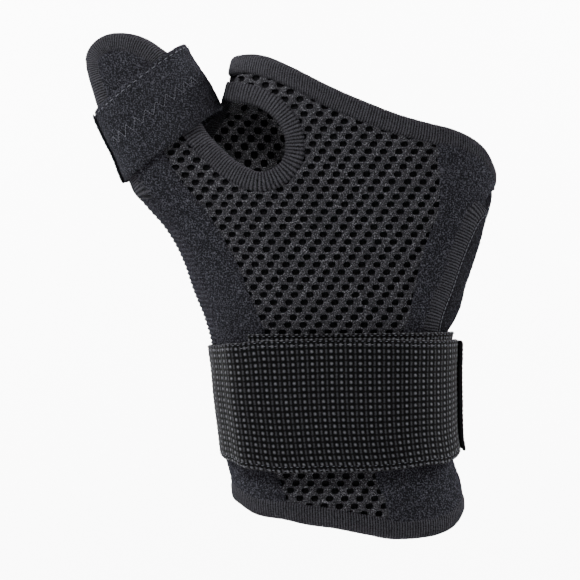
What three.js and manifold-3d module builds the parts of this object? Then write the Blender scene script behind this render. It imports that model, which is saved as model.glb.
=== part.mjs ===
// Thumb spica splint, a padded cloth wrist and thumb brace, held as it is when worn.
// Millimetres. +X goes towards the little finger, +Y towards the palm, +Z along the fingers.
// The origin is in the middle of the wrist, at half the height of the wrist strap.
import * as THREE from "three";
import { mergeVertices } from "three/addons/utils/BufferGeometryUtils.js";
import Module from "manifold-3d";

const wasm = await Module();
wasm.setup();

// Driving dimensions
const BODY_HEIGHT = 172; // bottom hem to the tip of the thumb tongue
const BODY_WIDTH = 140; // thumb tongue to little-finger side
const BODY_DEPTH = 46; // back of the hand to palm, over the cloth
const PANEL_WALL = 3; // padded spacer mesh and fleece
const BINDING_WIDTH = 6.5;
const BINDING_PROUD = 0.6; // the binding stands this far off each face of a panel
const FLAP_BINDING_WIDTH = 6.5;
const FLAP_BINDING_PROUD = 0.3;
const SEAM_GAP = 0.3; // clear space between two sewn pieces
const THUMB_STRAP_WALL = 1.6;
const THUMB_STRAP_WIDTH = 25.5;
const THUMB_TAB_LENGTH = 21; // hook tab at the end of the thumb strap
const THUMB_TAB_WALL = 1.2;
const WRIST_STRAP_WALL = 1.7;
const WRIST_STRAP_WIDTH = 44;
const WRIST_TAB_WALL = 1.3;
const WRIST_TAB_TURN = 16; // degrees of turn that the hook tab covers

// Fineness of the faceted solids
const SECTION_SIDES = 32;
const CURVE_STEPS = 20;
const STRAP_STEP = 9; // degrees of turn for each step of the wrist strap

// Roundness of the superellipse sections, 2 being a plain ellipse
const PALM_ROUNDNESS = 2.4;
const THUMB_ROUNDNESS = 2.2;

// Sections of the hand tube, in hundredths: up of BODY_HEIGHT, left, farLeft and right of
// BODY_WIDTH, front and back of BODY_DEPTH. The front is the side of the back of the hand, and
// farLeft is where the palm sheet would end on the thumb side if it had no thumb opening.
const PALM_SECTIONS = [
  { up: -30.2, left: -23.1, farLeft: -23.1, right: 31.3, front: 50, back: 48 },
  { up: -18.6, left: -23.7, farLeft: -23.7, right: 31.4, front: 49, back: 48 },
  { up: -14.5, left: -24.4, farLeft: -24.4, right: 30.6, front: 48, back: 47 },
  { up: -10.5, left: -25.6, farLeft: -25.6, right: 28.6, front: 47, back: 46 },
  { up: -5.8, left: -26.4, farLeft: -26.4, right: 27.4, front: 46, back: 45 },
  { up: 1.2, left: -27.6, farLeft: -27.6, right: 27.1, front: 46, back: 45 },
  { up: 9.3, left: -28.6, farLeft: -28.6, right: 27.4, front: 46.5, back: 45.5 },
  { up: 14, left: -29.7, farLeft: -29.7, right: 28.2, front: 47, back: 46 },
  { up: 17.5, left: -31, farLeft: -31, right: 30.6, front: 47.5, back: 46.5 },
  { up: 20.8, left: -32.3, farLeft: -32.3, right: 32.1, front: 48, back: 47 },
  { up: 24.7, left: -34, farLeft: -34, right: 33.3, front: 48.5, back: 48 },
  { up: 29.7, left: -36.4, farLeft: -36.4, right: 35.2, front: 49.5, back: 49 },
  { up: 34.9, left: -39, farLeft: -39, right: 36.8, front: 50, back: 50 },
  { up: 39.5, left: -40.3, farLeft: -41, right: 38.2, front: 49.5, back: 50 },
  { up: 43.6, left: -40, farLeft: -43, right: 39, front: 49, back: 49.5 },
  { up: 48, left: -37.2, farLeft: -44, right: 39, front: 48, back: 48.5 },
  { up: 52.3, left: -33.6, farLeft: -43.5, right: 38.7, front: 46.5, back: 47.5 },
  { up: 55.8, left: -30.5, farLeft: -42, right: 38.5, front: 45.3, back: 46.5 },
  { up: 57.6, left: -29, farLeft: -38.5, right: 38.4, front: 44.8, back: 45.5 },
  { up: 59, left: -27.8, farLeft: -33, right: 38.3, front: 44.4, back: 44.5 },
  { up: 60.2, left: -26.8, farLeft: -27.5, right: 38.1, front: 44, back: 43.5 },
  { up: 61.3, left: -26.2, farLeft: -26.2, right: 37.9, front: 43.6, back: 42.5 },
  { up: 64, left: -25.5, farLeft: -25.5, right: 37.5, front: 43, back: 41 },
  { up: 67.5, left: -24.4, farLeft: -24.4, right: 37, front: 42, back: 39.5 },
  { up: 74, left: -22.5, farLeft: -22.5, right: 36, front: 41, back: 38 },
];

// Sections of the thumb sleeve, in the same hundredths
const THUMB_SECTIONS = [
  { up: 14.5, left: -29.2, farLeft: -29.2, right: -10, front: 24, back: 22 },
  { up: 22.7, left: -33.6, farLeft: -33.6, right: -12.2, front: 28, back: 25 },
  { up: 28.3, left: -35.9, farLeft: -35.9, right: -13.8, front: 31, back: 26 },
  { up: 32.6, left: -38.4, farLeft: -38.4, right: -15.7, front: 33, back: 27 },
  { up: 35.6, left: -40.8, farLeft: -40.8, right: -17.3, front: 34, back: 27 },
  { up: 39, left: -44.4, farLeft: -44.4, right: -19.5, front: 34, back: 27 },
  { up: 42, left: -47.4, farLeft: -47.4, right: -21.5, front: 34, back: 27 },
  { up: 45.3, left: -49.3, farLeft: -49.3, right: -23.4, front: 34, back: 24 },
  { up: 48.8, left: -51.1, farLeft: -51.1, right: -25, front: 33.5, back: 22 },
  { up: 52.3, left: -53.5, farLeft: -53.5, right: -26.2, front: 33, back: 20.5 },
  { up: 57, left: -56.4, farLeft: -56.4, right: -27.4, front: 32.5, back: 19.5 },
  { up: 60.5, left: -57.9, farLeft: -57.9, right: -29.3, front: 32, back: 19.5 },
  { up: 64.5, left: -59.4, farLeft: -59.4, right: -32.3, front: 31, back: 19.5 },
  { up: 68.6, left: -60.4, farLeft: -60.4, right: -35.9, front: 30, back: 19.5 },
  { up: 73.3, left: -60.9, farLeft: -60.9, right: -38.8, front: 29, back: 19.5 },
  { up: 78, left: -61.2, farLeft: -61.2, right: -41, front: 28, back: 19.5 },
];

// Lines drawn on the front view, in hundredths: across of BODY_WIDTH, up of BODY_HEIGHT.
const BOTTOM_HEM = [
  { across: -30, up: -17.2 },
  { across: -23.8, up: -18.7 },
  { across: -18.6, up: -20.9 },
  { across: -12.1, up: -21.6 },
  { across: -6.7, up: -22.5 },
  { across: 0.2, up: -23.2 },
  { across: 7.1, up: -24.3 },
  { across: 14, up: -25.3 },
  { across: 21, up: -25.2 },
  { across: 25.7, up: -24.6 },
  { across: 29.3, up: -23.2 },
  { across: 32, up: -20.5 },
  { across: 37, up: -17 },
];
const TOP_HEM = [
  { across: -32, up: 68.2 },
  { across: -22.6, up: 68.8 },
  { across: -17.2, up: 68.2 },
  { across: -10.4, up: 65.8 },
  { across: -0.9, up: 62 },
  { across: 8.5, up: 58.8 },
  { across: 15.7, up: 56.6 },
  { across: 22.9, up: 55 },
  { across: 27.8, up: 54.1 },
  { across: 32.7, up: 52.6 },
  { across: 36.5, up: 50.3 },
  { across: 39, up: 46.8 },
  { across: 43, up: 41 },
];
const THUMB_SIDE_SEAM = [
  { across: -9, up: -27 },
  { across: -12.8, up: -15.3 },
  { across: -14.7, up: -12.6 },
  { across: -16.8, up: 0 },
  { across: -16.8, up: 15.2 },
  { across: -19, up: 19.3 },
  { across: -22.3, up: 26.2 },
  { across: -26.6, up: 32.6 },
  { across: -30.9, up: 38 },
  { across: -36.9, up: 43.7 },
  { across: -40.6, up: 48.6 },
  { across: -42, up: 54 },
  { across: -41, up: 58 },
  { across: -37, up: 61.5 },
  { across: -32, up: 66 },
  { across: -31, up: 74 },
];
const FINGER_SIDE_SEAM = [
  { across: 15, up: -27 },
  { across: 12.7, up: -17.7 },
  { across: 10.4, up: -12.3 },
  { across: 12, up: 2 },
  { across: 17.3, up: 15.2 },
  { across: 18.9, up: 19.3 },
  { across: 22.1, up: 30.5 },
  { across: 25.4, up: 38.8 },
  { across: 24.8, up: 50.6 },
  { across: 23.5, up: 62 },
];
const FLAP_EDGE = [
  { across: 42, up: 43.5 },
  { across: 38.6, up: 41.2 },
  { across: 37.1, up: 38.1 },
  { across: 34.7, up: 36 },
  { across: 32.7, up: 32.5 },
  { across: 30.8, up: 28.2 },
  { across: 28.6, up: 22.7 },
  { across: 26.7, up: 18.8 },
  { across: 25.5, up: 15.3 },
  { across: 25, up: 9 },
  { across: 25.8, up: 0 },
  { across: 28.5, up: -6 },
  { across: 34, up: -9.5 },
];
const SIDE_BAND_SEAM = [
  { across: -40, up: -10 },
  { across: -33, up: 5 },
  { across: -28.2, up: 10 },
  { across: -27.7, up: 13.8 },
  { across: -28.4, up: 19.2 },
  { across: -30.8, up: 24.7 },
  { across: -33, up: 29.6 },
  { across: -36.9, up: 34.9 },
  { across: -41.7, up: 40.4 },
  { across: -47, up: 43.5 },
  { across: -54, up: 46 },
];
// The edge of the front sheet round the thumb: web, hole, tongue, then down the thumb side
const THUMB_EDGE = [
  { across: -26.8, up: 60.2 },
  { across: -23.7, up: 59.5 },
  { across: -20, up: 58.8 },
  { across: -15.2, up: 56.6 },
  { across: -11.9, up: 52.7 },
  { across: -12.3, up: 47.9 },
  { across: -17.1, up: 45.5 },
  { across: -22.3, up: 46.8 },
  { across: -26.6, up: 49.4 },
  { across: -32, up: 54.2 },
  { across: -35.6, up: 60.7 },
  { across: -39.7, up: 68 },
  { across: -42.8, up: 70.3 },
  { across: -46.6, up: 72 },
  { across: -51.1, up: 72.8 },
  { across: -55.2, up: 72.5 },
  { across: -58.5, up: 71 },
  { across: -60.6, up: 68.6 },
  { across: -60.8, up: 65.5 },
  { across: -59.6, up: 62 },
  { across: -57.8, up: 57.8 },
  { across: -54.5, up: 52.3 },
  { across: -51.8, up: 48.3 },
  { across: -50.2, up: 44 },
  { across: -47, up: 40.6 },
];
// The edge of the back sheet round the thumb, from the web down to the thumb side
const THUMB_FAR_EDGE = [
  { across: -26.7, up: 60.2 },
  { across: -27.6, up: 57.4 },
  { across: -32.1, up: 53.9 },
  { across: -39.3, up: 49.6 },
  { across: -45.7, up: 45.7 },
  { across: -50.4, up: 42.9 },
];
// The inner line of the binding on that edge
const THUMB_FAR_BAND = [
  { across: -27.2, up: 64 },
  { across: -23.8, up: 62.6 },
  { across: -22.4, up: 59 },
  { across: -24.6, up: 55 },
  { across: -29.4, up: 51 },
  { across: -36.6, up: 46.5 },
  { across: -43, up: 42.6 },
  { across: -48, up: 39 },
];
const BACK_SEAM = [
  { across: 12, up: -28 },
  { across: 12, up: 10 },
  { across: 15, up: 40 },
  { across: 14, up: 66 },
];
const THUMB_STRAP_MIDDLE = { across: -42.5, up: 58 };
const THUMB_STRAP_TILT = 37; // degrees that the strap climbs towards the fingers

// Course of the wrist strap, one and a half turns. turn is in degrees from the
// little-finger side by way of the palm, top and bottom in hundredths of WRIST_STRAP_WIDTH.
const WRIST_STRAP_COURSE = [
  { turn: -126, layer: 0, top: 55.5, bottom: -43 },
  { turn: -60, layer: 0, top: 56.5, bottom: -44 },
  { turn: 0, layer: 0, top: 57, bottom: -37 },
  { turn: 90, layer: 0, top: 51, bottom: -44 },
  { turn: 180, layer: 0, top: 46.5, bottom: -38.5 },
  { turn: 205, layer: 0, top: 47, bottom: -42 },
  { turn: 225, layer: 1, top: 48.5, bottom: -46.5 },
  { turn: 245, layer: 1, top: 51, bottom: -49 },
  { turn: 275, layer: 1, top: 52.5, bottom: -47.5 },
  { turn: 320, layer: 1, top: 51, bottom: -43 },
  { turn: 360, layer: 1, top: 51, bottom: -35.5 },
  { turn: 369, layer: 1, top: 51, bottom: -35.5 },
];

const OVERRUN = 6; // how far the hollow runs past the ends of the tube
const FAR = 3 * BODY_DEPTH; // reach of a cutting shape towards the front or the back

function wide(share) {
  return (share / 100) * BODY_WIDTH;
}

function high(share) {
  return (share / 100) * BODY_HEIGHT;
}

function deep(share) {
  return (share / 100) * BODY_DEPTH;
}

// The section of a tube at a height given in hundredths of BODY_HEIGHT
function sectionAt(rows, up) {
  let i = 0;
  while (i < rows.length - 2 && up > rows[i + 1].up) {
    i += 1;
  }
  const t = (up - rows[i].up) / (rows[i + 1].up - rows[i].up);
  const mix = (column) => THREE.MathUtils.lerp(rows[i][column], rows[i + 1][column], t);
  return {
    left: mix("left"),
    farLeft: mix("farLeft"),
    right: mix("right"),
    front: mix("front"),
    back: mix("back"),
  };
}

// A point of a section grown outwards by some millimetres, at an angle from +X towards +Y
function sectionPoint(section, roundness, angle, grow) {
  const inFront = Math.sin(angle) < 0;
  const left = wide(inFront ? section.left : section.farLeft) - grow;
  const right = wide(section.right) + grow;
  const depth = deep(inFront ? section.front : section.back) + grow;
  const bend = (value) => Math.sign(value) * Math.abs(value) ** (2 / roundness);
  return {
    x: (left + right) / 2 + ((right - left) / 2) * bend(Math.cos(angle)),
    y: depth * bend(Math.sin(angle)),
  };
}

function solid(geometry) {
  geometry.deleteAttribute("normal");
  geometry.deleteAttribute("uv");
  const merged = mergeVertices(geometry, 1e-4);
  return new wasm.Manifold(
    new wasm.Mesh({
      numProp: 3,
      vertProperties: merged.attributes.position.array,
      triVerts: new Uint32Array(merged.index.array),
    }),
  );
}

// A closed skin over rings of points that all have the same number of points
function ringSolid(rings) {
  const sides = rings[0].length;
  const positions = rings.flat().flatMap((p) => [p.x, p.y, p.z]);
  const index = [];
  for (let r = 0; r < rings.length - 1; r += 1) {
    for (let k = 0; k < sides; k += 1) {
      const a = r * sides + k;
      const b = r * sides + ((k + 1) % sides);
      index.push(a, b, b + sides, a, b + sides, a + sides);
    }
  }
  const last = (rings.length - 1) * sides;
  for (let k = 1; k < sides - 1; k += 1) {
    index.push(0, k + 1, k);
    index.push(last, last + k, last + k + 1);
  }
  const geometry = new THREE.BufferGeometry();
  geometry.setAttribute("position", new THREE.Float32BufferAttribute(positions, 3));
  geometry.setIndex(index);
  return solid(geometry);
}

// A tube through the sections of a table, grown by some millimetres and run on past its ends
function tube(rows, roundness, grow, overrun = 0) {
  const rings = rows.map((row, r) => {
    const past = (r === rows.length - 1 ? overrun : 0) - (r === 0 ? overrun : 0);
    return Array.from({ length: SECTION_SIDES }, (_, k) => {
      const p = sectionPoint(row, roundness, (2 * Math.PI * k) / SECTION_SIDES, grow);
      return new THREE.Vector3(p.x, p.y, high(row.up) + past);
    });
  });
  return ringSolid(rings);
}

function bodyForm(grow, overrun = 0) {
  const palm = tube(PALM_SECTIONS, PALM_ROUNDNESS, grow, overrun);
  return palm.add(tube(THUMB_SECTIONS, THUMB_ROUNDNESS, grow, overrun));
}

// The wall of the whole cover, standing proud of both its faces by some millimetres
function bodyShell(proud) {
  return bodyForm(proud).subtract(bodyForm(-PANEL_WALL - proud, OVERRUN));
}

// A line of the front view as points in millimetres, smoothed through its table
function line(rows, steps = CURVE_STEPS) {
  const knots = rows.map((row) => new THREE.Vector2(wide(row.across), high(row.up)));
  return new THREE.SplineCurve(knots).getSpacedPoints(steps);
}

// The same line moved to its left, or to its right for a negative distance
function shifted(points, distance) {
  return points.map((point, k) => {
    const before = points[Math.max(k - 1, 0)];
    const after = points[Math.min(k + 1, points.length - 1)];
    const along = after.clone().sub(before).normalize();
    return new THREE.Vector2(point.x - along.y * distance, point.y + along.x * distance);
  });
}

// The same line run on past its end
function extended(points, distance) {
  const last = points[points.length - 1];
  const along = last.clone().sub(points[points.length - 2]).normalize();
  return [...points, last.clone().addScaledVector(along, distance)];
}

// A shape of the front view run through the depth from one place to another
function prism(points, from = -FAR, to = FAR) {
  const geometry = new THREE.ExtrudeGeometry(new THREE.Shape(points), {
    depth: to - from,
    bevelEnabled: false,
    steps: 1,
  });
  geometry.rotateX(Math.PI / 2);
  geometry.translate(0, to, 0);
  return solid(geometry);
}

// All that lies to the left of a line, or to its right for a negative reach
function beside(points, reach, from, to) {
  const along = points[points.length - 1].clone().sub(points[0]).normalize();
  const first = points[0].clone().addScaledVector(along, -FAR);
  const last = points[points.length - 1].clone().addScaledVector(along, FAR);
  const away = new THREE.Vector2(-along.y, along.x).multiplyScalar(reach);
  return prism([first, ...points, last, last.clone().add(away), first.clone().add(away)], from, to);
}

// The ribbon between a line and the same line moved sideways
function ribbon(points, distance, from, to) {
  return prism([...points, ...shifted(points, distance).reverse()], from, to);
}

function slab(from, to) {
  const corners = [
    [-FAR, -FAR],
    [FAR, -FAR],
    [FAR, FAR],
    [-FAR, FAR],
  ];
  return prism(
    corners.map(([x, z]) => new THREE.Vector2(x, z)),
    from,
    to,
  );
}

const bottomHem = line(BOTTOM_HEM);
const topHem = line(TOP_HEM);
const thumbSideSeam = line(THUMB_SIDE_SEAM);
const fingerSideSeam = line(FINGER_SIDE_SEAM);
const flapEdge = line(FLAP_EDGE);
const sideBandSeam = line(SIDE_BAND_SEAM);
const backSeam = line(BACK_SEAM);
const thumbEdge = line(THUMB_EDGE, 2 * CURVE_STEPS);
const thumbFarEdge = line(THUMB_FAR_EDGE);
const thumbFarBand = line(THUMB_FAR_BAND);
const halfGap = SEAM_GAP / 2;

// What lies outside a thumb edge: a shape bounded by the edge and by open sky
function skyBeyond(edge, from, to) {
  const sky = high(90);
  const outside = wide(-80);
  const last = edge[edge.length - 1];
  const corners = [
    new THREE.Vector2(outside, last.y),
    new THREE.Vector2(outside, sky),
    new THREE.Vector2(edge[0].x, sky),
  ];
  return prism([...edge, ...corners], from, to);
}

const aboveTop = beside(topHem, FAR);
const belowBottom = beside(bottomHem, -FAR);
const frontOpening = skyBeyond(thumbEdge, -FAR, 0);
const backOpening = skyBeyond(thumbFarEdge, 0, FAR);

function trimmed(body) {
  return body
    .subtract(aboveTop)
    .subtract(belowBottom)
    .subtract(frontOpening)
    .subtract(backOpening);
}

const thumbBandFront = ribbon(thumbEdge, BINDING_WIDTH, -FAR, 0);
const thumbBandBack = prism([...thumbFarEdge, ...thumbFarBand.toReversed()], 0, FAR);
const boundShell = trimmed(bodyShell(BINDING_PROUD));
const topBinding = boundShell.intersect(ribbon(topHem, -BINDING_WIDTH));
const bottomBinding = boundShell.intersect(ribbon(bottomHem, BINDING_WIDTH));
const thumbBinding = boundShell.intersect(thumbBandFront.add(thumbBandBack));

// The flat cloth that is left between the bindings
const bandWithGap = BINDING_WIDTH + SEAM_GAP;
const cloth = trimmed(bodyShell(0))
  .subtract(beside(shifted(topHem, -bandWithGap), FAR))
  .subtract(beside(shifted(bottomHem, bandWithGap), -FAR))
  .subtract(ribbon(extended(thumbEdge, SEAM_GAP), bandWithGap, -FAR, SEAM_GAP))
  .subtract(
    prism([...thumbFarEdge, ...shifted(thumbFarBand, SEAM_GAP).reverse()], -SEAM_GAP, FAR),
  );
const frontCloth = cloth.intersect(slab(-FAR, -halfGap));
const backCloth = cloth.intersect(slab(halfGap, FAR));

const sideBand = frontCloth.intersect(beside(shifted(sideBandSeam, halfGap), FAR));
const thumbSleeve = frontCloth
  .intersect(beside(shifted(thumbSideSeam, halfGap), FAR))
  .subtract(beside(shifted(sideBandSeam, -halfGap), FAR));
const frontMesh = frontCloth
  .subtract(beside(shifted(thumbSideSeam, -halfGap), FAR))
  .intersect(beside(shifted(fingerSideSeam, halfGap), FAR));
const flapBindingBand = ribbon(flapEdge, -FLAP_BINDING_WIDTH, -FAR, -halfGap);
const fingerFlap = frontCloth
  .subtract(beside(shifted(fingerSideSeam, -halfGap), FAR))
  .subtract(beside(shifted(flapEdge, -FLAP_BINDING_WIDTH - SEAM_GAP), FAR));
const flapBinding = trimmed(bodyShell(FLAP_BINDING_PROUD))
  .intersect(flapBindingBand)
  .subtract(beside(shifted(topHem, -bandWithGap), FAR));
const backMesh = backCloth.intersect(beside(shifted(backSeam, halfGap), FAR));
const closure = cloth.intersect(
  beside(shifted(backSeam, -halfGap), -FAR, halfGap, FAR).add(
    beside(shifted(flapEdge, SEAM_GAP), FAR, -FAR, halfGap),
  ),
);

// The wrist strap: a flat band swept along its course round the hand tube
function courseAt(turn) {
  const rows = WRIST_STRAP_COURSE;
  let i = 0;
  while (i < rows.length - 2 && turn > rows[i + 1].turn) {
    i += 1;
  }
  const t = THREE.MathUtils.smoothstep(turn, rows[i].turn, rows[i + 1].turn);
  return {
    layer: THREE.MathUtils.lerp(rows[i].layer, rows[i + 1].layer, t),
    top: THREE.MathUtils.lerp(rows[i].top, rows[i + 1].top, t),
    bottom: THREE.MathUtils.lerp(rows[i].bottom, rows[i + 1].bottom, t),
  };
}

const STRAP_CLEARANCE = FLAP_BINDING_PROUD + SEAM_GAP;
const STRAP_LIFTS = [0, 0.5, 1]; // shares of the strap's width, edge to edge

function strapSection(turn, inner, outer, trim = 0) {
  const course = courseAt(turn);
  const low = (course.bottom / 100) * WRIST_STRAP_WIDTH + trim;
  const top = (course.top / 100) * WRIST_STRAP_WIDTH - trim;
  const lift = course.layer * (WRIST_STRAP_WALL + SEAM_GAP) + STRAP_CLEARANCE;
  const at = (share, out) => {
    const z = THREE.MathUtils.lerp(low, top, share);
    const section = sectionAt(PALM_SECTIONS, (100 * z) / BODY_HEIGHT);
    const p = sectionPoint(section, PALM_ROUNDNESS, THREE.MathUtils.degToRad(turn), lift + out);
    return new THREE.Vector3(p.x, p.y, z);
  };
  return [
    ...STRAP_LIFTS.map((share) => at(share, inner)),
    ...STRAP_LIFTS.toReversed().map((share) => at(share, outer)),
  ];
}

function strapBand(fromTurn, toTurn, inner, outer, trim) {
  const steps = Math.ceil((toTurn - fromTurn) / STRAP_STEP);
  const rings = Array.from({ length: steps + 1 }, (_, k) =>
    strapSection(fromTurn + ((toTurn - fromTurn) * k) / steps, inner, outer, trim),
  );
  return ringSolid(rings);
}

const strapStart = WRIST_STRAP_COURSE[0].turn;
const strapEnd = WRIST_STRAP_COURSE[WRIST_STRAP_COURSE.length - 1].turn;
const wristStrap = strapBand(strapStart, strapEnd, 0, WRIST_STRAP_WALL);
const wristTabIn = WRIST_STRAP_WALL + SEAM_GAP;
const wristTab = strapBand(
  strapEnd - WRIST_TAB_TURN,
  strapEnd + 2,
  wristTabIn,
  wristTabIn + WRIST_TAB_WALL,
  0.5,
);

// The thumb strap: a closed loop round the tongue, cut square to the thumb
const strapMiddle = new THREE.Vector2(
  wide(THUMB_STRAP_MIDDLE.across),
  high(THUMB_STRAP_MIDDLE.up),
);
const strapWay = new THREE.Vector2(1, 0).rotateAround(
  new THREE.Vector2(),
  THREE.MathUtils.degToRad(THUMB_STRAP_TILT),
);

// A strip of the front view along the thumb strap
function strapStrip(width, from, to) {
  const start = strapMiddle.clone().addScaledVector(strapWay, -from);
  const end = strapMiddle.clone().addScaledVector(strapWay, to);
  const edge = shifted([start, end], -width / 2);
  return ribbon(edge, width);
}

function thumbRing(inner, outer) {
  const form = (grow) => tube(THUMB_SECTIONS, THUMB_ROUNDNESS, grow);
  return form(outer).subtract(form(inner));
}

const thumbStrapIn = BINDING_PROUD + SEAM_GAP;
const thumbStrapOut = thumbStrapIn + THUMB_STRAP_WALL;
const thumbStrap = thumbRing(thumbStrapIn, thumbStrapOut).intersect(
  strapStrip(THUMB_STRAP_WIDTH, BODY_WIDTH, BODY_WIDTH),
);
const thumbTabIn = thumbStrapOut + SEAM_GAP;
const thumbTab = thumbRing(thumbTabIn, thumbTabIn + THUMB_TAB_WALL)
  .intersect(strapStrip(THUMB_STRAP_WIDTH - 1, BODY_WIDTH, -wide(7)))
  .intersect(slab(-3, THUMB_TAB_LENGTH));

// Cutting along a shared face can leave crumbs, so a piece is the one real body of its cut
function whole(body) {
  return body.decompose().reduce((best, next) => (next.volume() > best.volume() ? next : best));
}

function piece(name, body, color, roughness) {
  const made = whole(body).getMesh();
  const geometry = new THREE.BufferGeometry();
  geometry.setAttribute("position", new THREE.BufferAttribute(made.vertProperties, 3));
  geometry.setIndex(new THREE.BufferAttribute(made.triVerts, 1));
  geometry.computeVertexNormals();
  const material = new THREE.MeshStandardMaterial({ color, roughness, metalness: 0 });
  const mesh = new THREE.Mesh(geometry, material);
  mesh.name = name;
  return mesh;
}

const MESH_BLACK = 0x262429;
const FLEECE_BLACK = 0x2d2d32;
const BINDING_GREY = 0x3a393f;
const ELASTIC_BLACK = 0x242427;
const HOOK_BLACK = 0x151517;

const splint = new THREE.Group();
splint.name = "thumb_spica_splint";
splint.add(
  piece("front_mesh_panel", frontMesh, MESH_BLACK, 0.9),
  piece("back_mesh_panel", backMesh, MESH_BLACK, 0.9),
  piece("thumb_sleeve_panel", thumbSleeve, FLEECE_BLACK, 0.95),
  piece("thumb_side_band", sideBand, FLEECE_BLACK, 0.95),
  piece("finger_side_flap", fingerFlap, FLEECE_BLACK, 0.95),
  piece("closure_panel", closure, FLEECE_BLACK, 0.95),
  piece("top_binding", topBinding, BINDING_GREY, 0.85),
  piece("bottom_binding", bottomBinding, BINDING_GREY, 0.85),
  piece("thumb_binding", thumbBinding, BINDING_GREY, 0.85),
  piece("flap_binding", flapBinding, BINDING_GREY, 0.85),
  piece("thumb_strap", thumbStrap, FLEECE_BLACK, 0.9),
  piece("thumb_strap_tab", thumbTab, HOOK_BLACK, 0.7),
  piece("wrist_strap", wristStrap, ELASTIC_BLACK, 0.85),
  piece("wrist_strap_tab", wristTab, HOOK_BLACK, 0.7),
);

export default splint;
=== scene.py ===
import math

import bmesh
import bpy
import numpy as np
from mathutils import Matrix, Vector, noise


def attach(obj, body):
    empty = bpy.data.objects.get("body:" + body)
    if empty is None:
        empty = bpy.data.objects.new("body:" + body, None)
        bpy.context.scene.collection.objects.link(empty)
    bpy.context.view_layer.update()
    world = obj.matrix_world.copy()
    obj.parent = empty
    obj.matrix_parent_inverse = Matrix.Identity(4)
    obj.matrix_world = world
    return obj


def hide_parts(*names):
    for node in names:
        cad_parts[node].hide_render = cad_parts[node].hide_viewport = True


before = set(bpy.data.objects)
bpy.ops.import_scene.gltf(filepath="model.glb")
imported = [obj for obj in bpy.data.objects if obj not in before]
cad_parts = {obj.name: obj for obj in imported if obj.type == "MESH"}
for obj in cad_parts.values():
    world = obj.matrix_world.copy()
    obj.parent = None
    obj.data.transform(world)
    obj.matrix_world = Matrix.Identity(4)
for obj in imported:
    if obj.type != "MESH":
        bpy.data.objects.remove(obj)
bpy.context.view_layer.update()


# Back mesh panel: the palm side of the cuff, 3 mm black spacer mesh knitted with staggered
# open holes on both faces, cut to shape and sewn between the bindings.
WIDTH, HEIGHT, DEPTH = 1.40, 1.72, 0.46  # millimetres in a hundredth of each whole size
MM = 0.001
WALL = 3.0

# up, left, far left, right, front, back, in hundredths
PALM = np.array(
    [
        (-30.2, -23.1, -23.1, 31.3, 50, 48),
        (-18.6, -23.7, -23.7, 31.4, 49, 48),
        (-14.5, -24.4, -24.4, 30.6, 48, 47),
        (-10.5, -25.6, -25.6, 28.6, 47, 46),
        (-5.8, -26.4, -26.4, 27.4, 46, 45),
        (1.2, -27.6, -27.6, 27.1, 46, 45),
        (9.3, -28.6, -28.6, 27.4, 46.5, 45.5),
        (14, -29.7, -29.7, 28.2, 47, 46),
        (17.5, -31, -31, 30.6, 47.5, 46.5),
        (20.8, -32.3, -32.3, 32.1, 48, 47),
        (24.7, -34, -34, 33.3, 48.5, 48),
        (29.7, -36.4, -36.4, 35.2, 49.5, 49),
        (34.9, -39, -39, 36.8, 50, 50),
        (39.5, -40.3, -41, 38.2, 49.5, 50),
        (43.6, -40, -43, 39, 49, 49.5),
        (48, -37.2, -44, 39, 48, 48.5),
        (52.3, -33.6, -43.5, 38.7, 46.5, 47.5),
        (55.8, -30.5, -42, 38.5, 45.3, 46.5),
        (57.6, -29, -38.5, 38.4, 44.8, 45.5),
        (59, -27.8, -33, 38.3, 44.4, 44.5),
        (60.2, -26.8, -27.5, 38.1, 44, 43.5),
        (61.3, -26.2, -26.2, 37.9, 43.6, 42.5),
        (64, -25.5, -25.5, 37.5, 43, 41),
        (67.5, -24.4, -24.4, 37, 42, 39.5),
        (74, -22.5, -22.5, 36, 41, 38),
    ]
) * (HEIGHT, WIDTH, WIDTH, WIDTH, DEPTH, DEPTH)
THUMB = np.array(
    [
        (14.5, -29.2, -29.2, -10, 24, 22),
        (22.7, -33.6, -33.6, -12.2, 28, 25),
        (28.3, -35.9, -35.9, -13.8, 31, 26),
        (32.6, -38.4, -38.4, -15.7, 33, 27),
        (35.6, -40.8, -40.8, -17.3, 34, 27),
        (39, -44.4, -44.4, -19.5, 34, 27),
        (42, -47.4, -47.4, -21.5, 34, 27),
        (45.3, -49.3, -49.3, -23.4, 34, 24),
        (48.8, -51.1, -51.1, -25, 33.5, 22),
        (52.3, -53.5, -53.5, -26.2, 33, 20.5),
        (57, -56.4, -56.4, -27.4, 32.5, 19.5),
        (60.5, -57.9, -57.9, -29.3, 32, 19.5),
        (64.5, -59.4, -59.4, -32.3, 31, 19.5),
        (68.6, -60.4, -60.4, -35.9, 30, 19.5),
        (73.3, -60.9, -60.9, -38.8, 29, 19.5),
        (78, -61.2, -61.2, -41, 28, 19.5),
    ]
) * (HEIGHT, WIDTH, WIDTH, WIDTH, DEPTH, DEPTH)
LEFT, FAR_LEFT, RIGHT, FRONT, BACK = 1, 2, 3, 4, 5


def track(rows, column, height):
    ups, values = rows[:, 0], rows[:, column]
    slopes = np.gradient(values, ups)
    i = np.clip(np.searchsorted(ups, height) - 1, 0, len(ups) - 2)
    step = ups[i + 1] - ups[i]
    t = np.clip((height - ups[i]) / step, 0, 1)
    rise = values[i] * (1 + 2 * t) * (1 - t) ** 2 + values[i + 1] * t * t * (3 - 2 * t)
    return rise + step * t * (1 - t) * (slopes[i] * (1 - t) - slopes[i + 1] * t)


def dome(across, left, right, depth, roundness):
    share = np.abs((2 * across - left - right) / (right - left))
    inside = depth * (1 - np.minimum(share, 1) ** roundness) ** (1 / roundness)
    return np.where(share < 1, inside, -10)


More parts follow.
